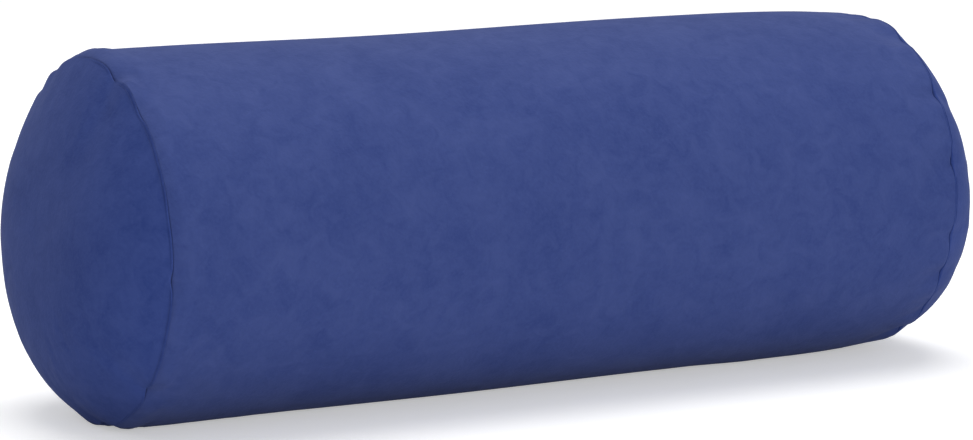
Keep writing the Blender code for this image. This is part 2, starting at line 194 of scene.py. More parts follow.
# Soft, shallow swells over the tube: a sum of a few seeded waves along and round it
def tubeSwell(xs, angles):
    rng = np.random.default_rng(21)
    total = 0
    for _ in range(10):
        along, turns = rng.uniform(6, 34), rng.integers(1, 6)
        wave = np.sin(along * xs + rng.uniform(0, 6.28)) * np.sin(turns * angles + rng.uniform(0, 6.28))
        total = total + wave / (0.6 + 0.03 * along + 0.25 * turns)
    return 0.0003 * total * calmAtZip(angles)


# The tube's plain radius, less the cube of how far a place is into each end's shoulder
def tubeRadius(xs):
    radii = np.full(np.shape(xs), pillowRadius)
    for end in (leftEnd, rightEnd):
        run = np.maximum(end["side"] * xs - (pillow["seamX"] - end["shoulder"]), 0) / end["shoulder"]
        radii = radii - (pillowRadius - end["seamRadius"]) * run**3
    return radii


# The lower part of an end hangs out and its upper part is drawn in
def endLean(end, angles, radii, share):
    sag = end["sag"] + (end["sagTop"] - end["sag"]) * smoothStep(0, 1, np.sin(angles))
    return 1 - share * sag * np.sin(angles) * radii / end["seamRadius"]


# Points at a radius and angle about the pillow's axis, pressed softly flat on the floor
def aboutAxis(xs, radii, angles, floor=0.0):
    heights = axisHeight + radii * np.sin(angles) - floor
    soft = pillow["floorSoftness"]
    lifted = floor + 0.5 * (heights + np.sqrt(heights**2 + soft**2)) - 0.25 * soft
    return np.stack(np.broadcast_arrays(xs, radii * np.cos(angles), lifted), axis=-1)


# The faces of a grid of points, each with its neighbours in the next row and column
def gridQuads(rows, columns, closeRows=False, closeColumns=False):
    row = np.arange(rows if closeRows else rows - 1)[:, None]
    column = np.arange(columns if closeColumns else columns - 1)[None, :]
    near, far = row * columns, (row + 1) % rows * columns
    after = (column + 1) % columns
    return np.stack([near + column, near + after, far + after, far + column], -1).reshape(-1, 4)


# Closes the first and last of a stack of rings, each with a fan of faces to its middle
def closeEnds(points, faces, rows, columns, middles=None):
    for place, (row, turn) in enumerate(((0, 1), (rows - 1, -1))):
        ring = row * columns + np.arange(columns)
        middle = points[ring].mean(0) if middles is None else middles[place]
        fan = [ring, np.full(columns, len(points)), np.roll(ring, -1)]
        faces.append(np.stack(fan, -1)[:, ::turn])
        points = np.vstack([points, middle])
    return points


def addObject(name, data):
    made = bpy.data.objects.new(name, data)
    bpy.context.scene.collection.objects.link(made)
    return made


def meshOf(name, points, faces):
    mesh = bpy.data.meshes.new(name)
    mesh.from_pydata(points.tolist(), [], [face for group in faces for face in group.tolist()])
    return mesh


# Puts the arrays into a piece that stands for a node, turned so that its faces point outwards
def addMesh(name, points, faces, look, node, body="pillow"):
    points = np.asarray(points, float).reshape(-1, 3)
    volume = 0.0
    for group in faces:
        for last in range(2, group.shape[1]):
            a, b, c = (points[group[:, i]] for i in (0, last - 1, last))
            volume += np.einsum("ij,ij->i", a, np.cross(b, c)).sum()
    if volume < 0:
        faces = [group[:, ::-1] for group in faces]
    mesh = meshOf(name, points, faces)
    mesh.shade_smooth()
    mesh.materials.append(look)
    piece = addObject(name, mesh)
    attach(piece, body)
    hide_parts(node)
    return piece


# The direction straight out of the fabric at each point of a grid, from its neighbours
def gridNormals(grid, closeColumns):
    along = np.gradient(grid, axis=0)
    if closeColumns:
        across = np.roll(grid, -1, axis=1) - np.roll(grid, 1, axis=1)
    else:
        across = np.gradient(grid, axis=1)
    normal = np.cross(along, across)
    normal /= np.maximum(np.linalg.norm(normal, axis=-1, keepdims=True), 1e-12)
    outward = np.einsum("ijk,ijk->", normal, grid - np.array([0, 0, axisHeight]))
    return normal if outward > 0 else -normal


# A sheet given a wall: the grid, its copy set in by the wall, and strips that join their edges.
# With poles, the first row closes to a point on each side.
def addShell(name, grid, wall, look, node, closeColumns=False, poles=False):
    rows, columns = grid.shape[:2]
    inner = grid - wall * gridNormals(grid, closeColumns)
    loop = np.concatenate([grid, inner[::-1]])
    faces = [gridQuads(2 * rows, columns, not poles, closeColumns)]
    points = loop.reshape(-1, 3)
    if not closeColumns:
        row = np.arange(rows - 1)
        mirror = 2 * rows - 1 - row
        for column, turn in ((0, 1), (columns - 1, -1)):
            strip = np.stack([row, row + 1, mirror - 1, mirror], -1) * columns + column
            faces.append(strip[:, ::turn])
    if poles:
        points = closeEnds(points, faces, 2 * rows, columns)
    return addMesh(name, points, faces, look, node)


# A round section carried along a path. Out is the direction that its seam of points faces.
def tubePoints(path, out, radius, sides, closed):
    if closed:
        tangent = np.roll(path, -1, axis=0) - np.roll(path, 1, axis=0)
    else:
        tangent = np.gradient(path, axis=0)
    tangent /= np.linalg.norm(tangent, axis=1, keepdims=True)
    normal = out - np.einsum("ij,ij->i", out, tangent)[:, None] * tangent
    normal /= np.linalg.norm(normal, axis=1, keepdims=True)
    binormal = np.cross(tangent, normal)
    turn = np.linspace(0, 2 * math.pi, sides, endpoint=False)[None, :, None]
    return path[:, None] + radius * (np.cos(turn) * normal[:, None] + np.sin(turn) * binormal[:, None])


def addTube(name, path, out, radius, look, slot, node, sides=5, closed=False):
    out = np.broadcast_to(out, path.shape)
    points = tubePoints(path, out, radius, sides, closed).reshape(-1, 3)
    faces = [gridQuads(len(path), sides, closed, True)]
    if not closed:
        points = closeEnds(points, faces, len(path), sides, path[[0, -1]])
    return addMesh(name, points, faces, look, node)


print("helpers ready")


def newGroup(name, inputs, outputs):
    group = bpy.data.node_groups.new(name, "ShaderNodeTree")
    for label, kind, value in inputs:
        socket = group.interface.new_socket(label, in_out="INPUT", socket_type=kind)
        if value is not None:
            socket.default_value = value
    for label, kind in outputs:
        group.interface.new_socket(label, in_out="OUTPUT", socket_type=kind)
    return group, group.nodes.new("NodeGroupInput"), group.nodes.new("NodeGroupOutput")


def addNode(tree, kind, settings=None, **values):
    node = tree.nodes.new("ShaderNode" + kind)
    for key, value in (settings or {}).items():
        setattr(node, key, value)
    for key, value in values.items():
        node.inputs[key.replace("_", " ")].default_value = value
    return node


def mathNode(tree, operation, first, second=None):
    node = tree.nodes.new("ShaderNodeMath")
    node.operation = operation
    for socket, value in zip(node.inputs, (first, second)):
        if value is None:
            continue
        if isinstance(value, (int, float)):
            socket.default_value = value
        else:
            tree.links.new(value, socket)
    return node.outputs[0]


# Soft patches where the nap lies another way, in two sizes, and a value for single tufts
def makeNapGroup():
    inputs = [
        ("Vector", "NodeSocketVector", None),
        ("Patch Scale", "NodeSocketFloat", 30.0),
        ("Tuft Scale", "NodeSocketFloat", 700.0),
    ]
    outputs = [("Patches", "NodeSocketFloat"), ("Tufts", "NodeSocketFloat")]
    group, inside, outside = newGroup("napPatches", inputs, outputs)
    links = group.links
    broad = addNode(group, "TexNoise", Detail=3.0, Roughness=0.62, Distortion=0.5)
    links.new(inside.outputs["Vector"], broad.inputs["Vector"])
    links.new(inside.outputs["Patch Scale"], broad.inputs["Scale"])
    small = addNode(group, "TexNoise", Detail=2.0, Roughness=0.6, Distortion=0.9)
    links.new(inside.outputs["Vector"], small.inputs["Vector"])
    links.new(mathNode(group, "MULTIPLY", inside.outputs["Patch Scale"], 3.6), small.inputs["Scale"])
    tufts = addNode(group, "TexNoise", Detail=1.0, Roughness=0.7)
    links.new(inside.outputs["Vector"], tufts.inputs["Vector"])
    links.new(inside.outputs["Tuft Scale"], tufts.inputs["Scale"])
    halves = [mathNode(group, "MULTIPLY", noise.outputs["Fac"], 0.5) for noise in (broad, small)]
    both = mathNode(group, "ADD", *halves)
    spread = addNode(group, "MapRange", From_Min=0.36, From_Max=0.64)
    links.new(both, spread.inputs["Value"])
    links.new(spread.outputs["Result"], outside.inputs["Patches"])
    links.new(tufts.outputs["Fac"], outside.inputs["Tufts"])
    return group


# Over-and-under threads: two crossed sets of ridges, one high where the other is low
def makeWeaveGroup():
    inputs = [("Vector", "NodeSocketVector", None), ("Thread Scale", "NodeSocketFloat", 800.0)]
    outputs = [("Height", "NodeSocketFloat"), ("Tone", "NodeSocketFloat")]
    group, inside, outside = newGroup("plainWeave", inputs, outputs)
    links = group.links
    split = group.nodes.new("ShaderNodeSeparateXYZ")
    links.new(inside.outputs["Vector"], split.inputs[0])
    waves = []
    for axis in ("X", "Y"):
        phase = mathNode(group, "MULTIPLY", split.outputs[axis], inside.outputs["Thread Scale"])
        waves.append(mathNode(group, "SINE", phase))
    crossing = mathNode(group, "MULTIPLY", waves[0], waves[1])
    high = mathNode(group, "MULTIPLY_ADD", crossing, 0.5)
    high.node.inputs[2].default_value = 0.5
    links.new(high, outside.inputs["Height"])
    noise = addNode(group, "TexNoise", Scale=260.0, Detail=2.0)
    links.new(inside.outputs["Vector"], noise.inputs["Vector"])
    links.new(mathNode(group, "MULTIPLY", high, noise.outputs["Fac"]), outside.inputs["Tone"])
    return group


# Rubbed places: broad noise, of which only the high part is kept
def makeWearGroup():
    inputs = [
        ("Vector", "NodeSocketVector", None),
        ("Scale", "NodeSocketFloat", 60.0),
        ("Amount", "NodeSocketFloat", 0.3),
    ]
    group, inside, outside = newGroup("rubbedWear", inputs, [("Mask", "NodeSocketFloat")])
    noise = addNode(group, "TexNoise", Detail=5.0, Roughness=0.7)
    group.links.new(inside.outputs["Vector"], noise.inputs["Vector"])
    group.links.new(inside.outputs["Scale"], noise.inputs["Scale"])
    spread = addNode(group, "MapRange", From_Min=0.5, From_Max=0.75)
    group.links.new(noise.outputs["Fac"], spread.inputs["Value"])
    mask = mathNode(group, "MULTIPLY", spread.outputs["Result"], inside.outputs["Amount"])
    group.links.new(mask, outside.inputs["Mask"])
    return group


napGroup = makeNapGroup()
weaveGroup = makeWeaveGroup()
wearGroup = makeWearGroup()


def startMaterial(name, roughness, metallic=0.0):
    made = bpy.data.materials.new(name)
    made.use_nodes = True
    tree = made.node_tree
    shader = tree.nodes["Principled BSDF"]
    shader.inputs["Roughness"].default_value = roughness
    shader.inputs["Metallic"].default_value = metallic
    place = tree.nodes.new("ShaderNodeTexCoord").outputs["Object"]
    return made, tree, shader, place


def useGroup(tree, group, place, **values):
    node = tree.nodes.new("ShaderNodeGroup")
    node.node_tree = group
    tree.links.new(place, node.inputs["Vector"])
    for key, value in values.items():
        node.inputs[key.replace("_", " ")].default_value = value
    return node


def mixColours(tree, mask, low, high):
    node = addNode(tree, "Mix", {"data_type": "RGBA"})
    for index, value in ((6, low), (7, high)):
        if isinstance(value, tuple):
            node.inputs[index].default_value = (*value, 1)
        else:
            tree.links.new(value, node.inputs[index])
    tree.links.new(mask, node.inputs[0])
    return node.outputs[2]


def bumpFrom(tree, shader, height, strength, depth):
    node = addNode(tree, "Bump", Strength=strength, Distance=depth)
    tree.links.new(height, node.inputs["Height"])
    tree.links.new(node.outputs["Normal"], shader.inputs["Normal"])
    return node


plushLook = {
    "dark": (0.0272, 0.0478, 0.182),
    "light": (0.0442, 0.0680, 0.219),
    "tip": (0.052, 0.080, 0.26),
    "patchScale": 27.0,
    "tuftScale": 620.0,
    "sheen": 0.05,
    "sheenTint": (0.78, 0.83, 1.0),
}
# The end panels get a darker, deeper blue copy of the tube's plush: painted shade for the ends, which
# take less light than the tube
shadedEndPlushLook = dict(plushLook, dark=(0.0198, 0.0422, 0.190), light=(0.0345, 0.0608, 0.229))


# Short-pile plush: nap patches, tufts with paler tips, a fine bump and a soft sheen
def makePlush(name, look):
    made, tree, shader, place = startMaterial(name, 0.8)
    scales = {"Patch_Scale": look["patchScale"], "Tuft_Scale": look["tuftScale"]}
    nap = useGroup(tree, napGroup, place, **scales)
    base = mixColours(tree, nap.outputs["Patches"], look["dark"], look["light"])
    tips = mathNode(tree, "MULTIPLY", mathNode(tree, "POWER", nap.outputs["Tufts"], 2.4), 0.55)
    tree.links.new(mixColours(tree, tips, base, look["tip"]), shader.inputs["Base Color"])
    shader.inputs["Sheen Weight"].default_value = look["sheen"]
    shader.inputs["Sheen Roughness"].default_value = 0.55
    shader.inputs["Sheen Tint"].default_value = (*look["sheenTint"], 1)
    shader.inputs["Specular IOR Level"].default_value = 0.12
    patches = mathNode(tree, "MULTIPLY", nap.outputs["Patches"], 0.5)
    height = mathNode(tree, "ADD", nap.outputs["Tufts"], patches)
    bumpFrom(tree, shader, height, 0.22, 0.0008)
    return made


# Woven cloth in one colour, with its threads on the axes of the piece
def makeWoven(name, low, high, scale, roughness, turn=0.0, sheen=0.0, bump=0.5):
    made, tree, shader, place = startMaterial(name, roughness)
    mapping = addNode(tree, "Mapping")
    mapping.inputs["Rotation"].default_value = (turn, 0, 0)
    tree.links.new(place, mapping.inputs["Vector"])
    weave = useGroup(tree, weaveGroup, mapping.outputs[0], Thread_Scale=scale)
    wear = useGroup(tree, wearGroup, place, Amount=0.35)
    tone = mathNode(tree, "ADD", weave.outputs["Tone"], wear.outputs["Mask"])
    tree.links.new(mixColours(tree, tone, low, high), shader.inputs["Base Color"])
    shader.inputs["Sheen Weight"].default_value = sheen
    bumpFrom(tree, shader, weave.outputs["Height"], bump, 0.0003)
    return made


# Thread: fine ridges of its twist, and a little fuzz
def makeThread(name, low, high, roughness=0.65):
    made, tree, shader, place = startMaterial(name, roughness)
    twist = addNode(tree, "TexNoise", Scale=2600.0, Detail=2.0)
    tree.links.new(place, twist.inputs["Vector"])
    tree.links.new(mixColours(tree, twist.outputs["Fac"], low, high), shader.inputs["Base Color"])
    shader.inputs["Sheen Weight"].default_value = 0.04
    bumpFrom(tree, shader, twist.outputs["Fac"], 0.4, 0.0001)
    return made


# Enamelled metal: a smooth coat, rubbed paler and a little rougher in places
def makeEnamel():
    made, tree, shader, place = startMaterial("navyEnamel", 0.3, 0.35)
    wear = useGroup(tree, wearGroup, place, Scale=260.0, Amount=0.5)
    colour = mixColours(tree, wear.outputs["Mask"], (0.03, 0.04, 0.115), (0.16, 0.18, 0.24))
    tree.links.new(colour, shader.inputs["Base Color"])
    rough = mathNode(tree, "ADD", mathNode(tree, "MULTIPLY", wear.outputs["Mask"], 0.3), 0.28)
    tree.links.new(rough, shader.inputs["Roughness"])
    shader.inputs["Coat Weight"].default_value = 0.4
    grain = addNode(tree, "TexNoise", Scale=1500.0, Detail=2.0)
    tree.links.new(place, grain.inputs["Vector"])
    bumpFrom(tree, shader, grain.outputs["Fac"], 0.12, 0.00005)
    return made


# Nylon: a dull gloss with faint streaks
def makeNylon():
    made, tree, shader, place = startMaterial("navyNylon", 0.38)
    streak = addNode(tree, "TexNoise", Scale=900.0, Detail=2.0)
    tree.links.new(place, streak.inputs["Vector"])
    colour = mixColours(tree, streak.outputs["Fac"], (0.02, 0.028, 0.085), (0.045, 0.058, 0.15))
    tree.links.new(colour, shader.inputs["Base Color"])
    rough = mathNode(tree, "ADD", mathNode(tree, "MULTIPLY", streak.outputs["Fac"], 0.2), 0.28)
    tree.links.new(rough, shader.inputs["Roughness"])
    bumpFrom(tree, shader, streak.outputs["Fac"], 0.15, 0.0001)
    return made


# Loose fibre: pale, with soft clumps
def makeFibre():
    made, tree, shader, place = startMaterial("whiteFibre", 1.0)
    nap = useGroup(tree, napGroup, place, Patch_Scale=60.0, Tuft_Scale=900.0)
    base = mixColours(tree, nap.outputs["Patches"], (0.78, 0.78, 0.76), (0.92, 0.92, 0.91))
    tree.links.new(base, shader.inputs["Base Color"])
    shader.inputs["Sheen Weight"].default_value = 0.4
    bumpFrom(tree, shader, nap.outputs["Tufts"], 0.8, 0.0015)
    return made


plush = makePlush("bluePlush", plushLook)
# The end panels' darker plush copy is painted shade, not a different fabric
shadedEndPlush = makePlush("bluePlushEndsShaded", shadedEndPlushLook)
flatOnZip = math.pi / 2 - zipAngle
tapeCloth = makeWoven("zipTapeCloth", (0.022, 0.032, 0.1), (0.05, 0.066, 0.18), 5200.0, 0.8, flatOnZip)
cotton = makeWoven("unbleachedCotton", (0.66, 0.64, 0.58), (0.86, 0.85, 0.8), 4200.0, 0.9, 0.0, 0.15)
satin = makeWoven("labelSatin", (0.7, 0.7, 0.68), (0.9, 0.9, 0.88), 7000.0, 0.5, flatOnZip, 0.2, 0.25)
coverThread = makeThread("blueThread", (0.03, 0.05, 0.19), (0.06, 0.09, 0.3))
cottonThread = makeThread("paleThread", (0.6, 0.58, 0.52), (0.84, 0.82, 0.77))
enamel = makeEnamel()
nylon = makeNylon()
fibre = makeFibre()
print("materials ready")


# The cover. Its tube's long edges stand nearly together over the sewn stretches of the back
# seam, and apart at the zip's opening.
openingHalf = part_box("zip_stitch_upper")[1].x
opening = {"halfWidth": 0.006, "sewnGap": 0.0002, "lip": 0.0013}


# How far each long edge stands from the zip's middle: a smooth step at each end of the opening
def edgeOffset(xs):
    closed = smoothStep(openingHalf - 0.0035, openingHalf + 0.0005, np.abs(xs))
    return opening["sewnGap"] + (opening["halfWidth"] - opening["sewnGap"]) * (1 - closed)


tube = {
    "rows": 104,
    "columns": 280,
    "lip": 0.0018,
    "gap": 0.00001,
    "openGap": 0.0001,
    "crowding": 1.55,  # how much closer the rows stand near the seams
    "edgeDrop": 0.00045,
}
stitchFurrow = {"depth": 0.00035, "width": 0.0009, "across": 0.0088}


# How far each seam's lips round over, from nearly flush to fully rolled: a base that
# changes slowly about the axis, and more at each pucker
def seamShow(end, angles):
    degrees = np.degrees(angleBetween(math.pi - angles, 0))
    marks = np.array(end["show"], float)
    base = np.interp(degrees, marks[:, 0], marks[:, 1], period=360)
    puckered = end["puckerShow"] * np.clip(puckerDepth(end, angles, np.zeros(1), 3) / 0.0030, 0, 1)
    return 0.02 + 0.98 * (base + (1 - base) * puckered)


# The path along the tube, as how far it is along, how far its lip drops and how deep it is
# in the seam's groove: the wall, a quarter-circle lip at each seam, then straight down
def tubePath():
    lip = tube["lip"]
    lipStart = pillow["seamX"] - tube["gap"] - lip
    spread = np.linspace(-1, 1, tube["rows"])
    wall = lipStart * np.tanh(tube["crowding"] * spread) / math.tanh(tube["crowding"])
    ends = openingHalf + np.array([-0.0035, -0.0024, -0.0015, -0.0007, 0.0005])
    nearLip = lipStart - np.array([0.00012, 0.0005])
    wall = np.sort(np.concatenate([wall, ends, -ends, nearLip, -nearLip]))
    turn = np.radians([18, 36, 54, 72, 90])
    lipX = np.concatenate([lipStart + lip * np.sin(turn), np.full(3, lipStart + lip)])
    lipDrop = np.concatenate([lip * (1 - np.cos(turn)), np.full(3, lip)])
    groove = np.concatenate([np.zeros(5), [0.0007, 0.0017, 0.0029]])
    xs = np.concatenate([-lipX[::-1], wall, lipX])
    drops = np.concatenate([lipDrop[::-1], np.zeros(len(wall)), lipDrop])
    depths = np.concatenate([groove[::-1], np.zeros(len(wall)), groove])
    isLip = np.concatenate([np.ones(8), np.zeros(len(wall)), np.ones(8)])
    return xs[:, None], drops[:, None], depths[:, None], isLip[:, None]


# A smooth cloth is sewn up as the pillow is and blown up, and what it does beyond its mean
# shape is kept, as how far the fabric moves out over the tube and over each end
inflation = {
    "columns": 144,
    "rows": 84,
    "rings": 22,
    "startInside": 0.0012,
    "pressure": 4.0,
    "growth": -0.035,
    "puckers": 0.7,  # how much of each pucker the cloth starts with
    "frames": 20,
    "cap": 0.006,
    "shareLeft": 0.35,
    "shareRight": 0.65,
}
fieldAngles = np.linspace(0, 2 * math.pi, inflation["columns"], endpoint=False)[None, :]
fieldXs = pillow["seamX"] * np.tanh(1.5 * np.linspace(-1, 1, inflation["rows"])) / math.tanh(1.5)
fieldRings = 1 - (1 - np.linspace(0.18, 1, inflation["rings"] + 1)[:-1]) ** 1.4
cloth = {"tube": np.zeros((inflation["rows"], inflation["columns"]))}
cloth["left"] = cloth["right"] = np.zeros((inflation["rings"], inflation["columns"]))
puckerReach = 0.09  # no pucker goes further along the tube than this


# The shape that the cloth starts from: the tube and both domes, a little inside the cover
def startOfCloth():
    xs = fieldXs[:, None]
    radii = tubeRadius(xs) - inflation["startInside"] + tubeSwell(xs, fieldAngles)
    rings = []
    for end in (leftEnd, rightEnd):
        distance = pillow["seamX"] - end["side"] * xs
        drawn = puckerDepth(end, fieldAngles, np.maximum(distance, 0), 3) * (distance < puckerReach)
        radii = radii - inflation["puckers"] * drawn
        share = fieldRings[:, None]
        lean = endLean(end, fieldAngles, share * end["seamRadius"], 1)
        out = end["bulge"] * (1 - share ** end["squareness"]) * lean
        depth = inflation["puckers"] * puckerDepth(end, fieldAngles, (1 - share) * end["seamRadius"], 4)
        along = end["side"] * (pillow["seamX"] + out - depth - inflation["startInside"])
        rings.append(aboutAxis(along, share * radii[0 if end["side"] < 0 else -1], fieldAngles))
    return np.concatenate([rings[0], aboutAxis(xs, radii, fieldAngles), rings[1][::-1]])


def simulateCover():
    grid, columns = startOfCloth(), inflation["columns"]
    count = len(grid)
    faces = [gridQuads(count, columns, False, True)]
    points = closeEnds(grid.reshape(-1, 3), faces, count, columns)
    mesh = meshOf("inflating", points, faces)
    fabric = addObject("inflating", mesh)
    seams = fabric.vertex_groups.new(name="seams")
    for row in (len(fieldRings), count - 1 - len(fieldRings)):
        seams.add((row * columns + np.arange(columns)).tolist(), 1.0, "REPLACE")
    modifier = fabric.modifiers.new("inflate", "CLOTH")
    settings = modifier.settings
    settings.quality = 6
    settings.mass = 0.2
    settings.tension_stiffness = settings.compression_stiffness = 15
    settings.shear_stiffness = 5
    settings.bending_stiffness = 0.6
    settings.use_pressure = True
    settings.uniform_pressure_force = inflation["pressure"]
    settings.shrink_min = inflation["growth"]
    settings.vertex_group_mass = "seams"
    settings.effector_weights.gravity = 0
    modifier.point_cache.frame_start, modifier.point_cache.frame_end = 1, inflation["frames"]
    for number in range(1, inflation["frames"] + 1):
        bpy.context.scene.frame_set(number)
    moved = np.empty(len(points) * 3, np.float32)
    graph = bpy.context.evaluated_depsgraph_get()
    fabric.evaluated_get(graph).data.vertices.foreach_get("co", moved)
    bpy.context.scene.frame_set(1)
    bpy.data.objects.remove(fabric, do_unlink=True)
    bpy.data.meshes.remove(mesh)
    change = (moved.reshape(-1, 3)[:-2].astype(float) - points[:-2]).reshape(grid.shape)
    outward = change[..., 1] * np.cos(fieldAngles) + change[..., 2] * np.sin(fieldAngles)
    outwardX = change[..., 0]
    tubeRows = slice(len(fieldRings), count - len(fieldRings))
    parts = {
        "tube": outward[tubeRows],
        "left": -outwardX[: len(fieldRings)],
        "right": outwardX[tubeRows.stop :][::-1],
    }
    for key, part in parts.items():
        part = part - part.mean(axis=1, keepdims=True)
        print("inflated", key, "spread in mm", np.round(part.std() * 1000, 2))
        shares = inflation["shareLeft"], inflation["shareRight"]
        if key == "tube":
            share = np.interp(fieldXs, [-0.1, 0.1], shares)[:, None]
        else:
            share = shares[key == "right"]
        cloth[key] = share * np.clip(part, -inflation["cap"], inflation["cap"])


# A smooth curve through four neighbours, as the weights of each at a place between the middle two
def fourWeights(place):
    square, cube = place**2, place**3
    return [
        (-cube + 2 * square - place) / 2,
        (3 * cube - 5 * square + 2) / 2,
        (-3 * cube + 4 * square + place) / 2,
        (cube - square) / 2,
    ]


# A field's value at any place and angle, from the four by four points round it
def readField(field, rowPlaces, places, angles):
    rows = np.interp(places, rowPlaces, np.arange(len(rowPlaces)))
    columns = np.mod(angles, 2 * math.pi) / (2 * math.pi) * field.shape[1]
    rows, columns = np.broadcast_arrays(rows, columns)
    row, column = np.floor(rows).astype(int), np.floor(columns).astype(int)
    total = 0
    for i, rowWeight in enumerate(fourWeights(rows - row)):
        for j, columnWeight in enumerate(fourWeights(columns - column)):
            at = np.clip(row + i - 1, 0, len(field) - 1), (column + j - 1) % field.shape[1]
            total = total + field[at] * rowWeight * columnWeight
    return total


# The outside of the tube at a place along it and an angle about it: its own curve, its
# swells, and the puckers that each seam draws into it
def tubeSurface(xs, angles):
    radii = tubeRadius(xs) + tubeSwell(xs, angles)
    shift = 0
    for end in (leftEnd, rightEnd):
        distance = np.maximum(pillow["seamX"] - end["side"] * xs, 0)
        calm = 0.25 + 0.75 * calmAtZip(angles)
        radii = radii - puckerDepth(end, angles, distance, 3) * calm * (distance < puckerReach)
        shift = shift + seamWander(end, angles) * np.exp(-distance / 0.03)
    radii = radii + readField(cloth["tube"], fieldXs, xs, angles) * calmAtZip(angles)
    return radii, shift


simulateCover()


# The tube as a grid, from one lip of the zip's opening round to the other: its outside, less
# the seams' lips and grooves, the furrow of the zip's stitches and the turned-in long edges
def tubeGrid():
    xs, drops, depths, isLip = tubePath()
    lip = opening["lip"]
    turn = np.radians([0, 22, 45, 67])
    edgeIn = np.concatenate([np.zeros(1), lip * (1 - np.cos(turn))])
    edgeDrop = np.concatenate([[lip + tube["edgeDrop"]], lip * (1 - np.sin(turn))])
    offset = edgeOffset(xs)
    low = zipAngle + (offset + edgeIn[None, :]) / pillowRadius
    first = zipAngle + (offset + lip) / pillowRadius
    last = zipAngle + 2 * math.pi - (offset + lip) / pillowRadius
    spread = np.linspace(-1, 1, tube["columns"])
    spread = spread * (1 + 0.08 * (1 - spread**8))
    middle = (first + last) / 2 + (last - first) / 2 * spread[None, :]
    angles = np.concatenate([low, middle, 2 * (zipAngle + math.pi) - low[:, ::-1]], axis=1)
    acrossDrop = np.concatenate([edgeDrop, np.zeros(tube["columns"]), edgeDrop[::-1]])[None, :]
    show = np.where(xs < 0, seamShow(leftEnd, angles), seamShow(rightEnd, angles))
    # A flusher lip is also a shorter one, and the wall reaches further to meet it
    flush = pillow["seamX"] - tube["gap"]
    seamFace = flush - tube["openGap"] * show
    lipXs = seamFace - (flush - np.abs(xs)) * show
    wallXs = np.abs(xs) * (seamFace - tube["lip"] * show) / (flush - tube["lip"])
    xs = np.sign(xs) * np.where(isLip > 0, lipXs, wallXs)
    radii, shift = tubeSurface(xs, angles)
    across = np.abs(angleBetween(angles, zipAngle)) * pillowRadius
    furrow = np.exp(-(((across - stitchFurrow["across"]) / stitchFurrow["width"]) ** 2))
    radii = radii - stitchFurrow["depth"] * furrow * (np.abs(xs) < openingHalf)
    radii = radii - drops * show - depths * (0.15 + 0.85 * show) - acrossDrop
    return aboutAxis(xs + shift, radii, angles)


coverTube = addShell("cover_tube", tubeGrid(), pillow["coverWall"], plush, "cover_body")
print("cover tube:", len(coverTube.data.polygons), "faces")

endPanel = {"rows": 66, "columns": 300, "rim": 0.0016}


# The path from the middle of an end to its seam: the dome, then a rim that turns back round
# a small circle, then straight down into the seam's groove. It is given as how far out it
# is, its distance from the axis, and the dome's share of it, each for every angle.
def endPath(end, rim, gap):
    seamRadius, power = end["seamRadius"], end["squareness"]
    slope = end["bulge"] * power / seamRadius
    sweep = np.linspace(math.atan2(slope, 1), math.pi, 9)[:, None]
    rimX = gap + rim * (1 + np.cos(sweep))
    rimR = seamRadius - rim * (1 - np.sin(sweep))
    run = np.linspace(0.02, 1, endPanel["rows"])[:, None]
    fraction = 1 - (1 - run) ** 1.6
    domeR = rimR[:1] * fraction
    domeX = rimX[:1] + (end["bulge"] - rimX[:1]) * (1 - fraction**power)
    grooveR = rimR[-1:] - np.array([[0.0007], [0.0017], [0.0029]])
    out = np.concatenate([domeX[:-1], rimX, gap + 0 * grooveR])
    radii = np.concatenate([domeR[:-1], rimR, grooveR])
    share = np.concatenate([np.ones(len(domeX) - 1), np.linspace(1, 0, 9), np.zeros(3)])
    return out, radii, share[:, None]


# An end panel as a grid of rings: its path at every angle, with its puckers, its lean and
# what the cloth did
def endGrid(end):
    angles = np.linspace(0, 2 * math.pi, endPanel["columns"], endpoint=False)[None, :]
    show = seamShow(end, angles)
    rim = endPanel["rim"] * (0.03 + 0.97 * show)
    out, radii, share = endPath(end, rim, tube["gap"] + tube["openGap"] * show)
    distance = np.maximum(end["seamRadius"] - radii, 0) * share
    depth = puckerDepth(end, angles, distance, 4) * (0.25 + 0.75 * calmAtZip(angles))
    # By the seam a pucker draws the fabric inwards, and further in it presses the dome back
    inward = smoothStep(0.0, 0.02, distance)
    xs = pillow["seamX"] + out * endLean(end, angles, radii, share) - depth * inward
    place = radii / end["seamRadius"]
    blown = readField(cloth["left" if end["side"] < 0 else "right"], fieldRings, place, angles)
    xs = xs + blown * share * smoothStep(0.2, 0.6, place) * smoothStep(0, 0.022, distance)
    swell = tubeSwell(end["side"] * pillow["seamX"], angles) * np.exp(-distance / 0.02)
    radii = radii - depth * (1 - inward) + swell
    shift = seamWander(end, angles) * np.exp(-distance / 0.03)
    return aboutAxis(end["side"] * xs + shift, radii, angles)


for word, end in (("left", leftEnd), ("right", rightEnd)):
    wall, node = pillow["coverWall"], f"cover_end_{word}"
    panel = addShell(f"cover_panel_{word}", endGrid(end), wall, shadedEndPlush, node, True, True)
    print("end panel", word, len(panel.data.polygons), "faces")

# The pad inside: its cotton cover and its filling
liner = {
    "seamX": 0.212,
    "seamRadius": 0.0793,
    "inset": 0.0024,  # from the outside of the plush
    "shoulder": 0.029,
    "wall": 0.0006,
    "lip": 0.0009,
    "bulge": (0.0266, 0.0288),
    "crease": 0.0005,
}
dent = {"depth": 0.0029, "halfAngle": 0.42, "half": openingHalf + 0.008, "fade": 0.023}


# The hollow that the zip presses into the pad, full over its tapes and fading round them
def zipDent(xs, angles):
    away = np.abs(angleBetween(angles, zipAngle)) / dent["halfAngle"]
    along = 1 - smoothStep(dent["half"], dent["half"] + dent["fade"], np.abs(xs))
    return dent["depth"] * along * (1 - smoothStep(0.45, 1.0, away))


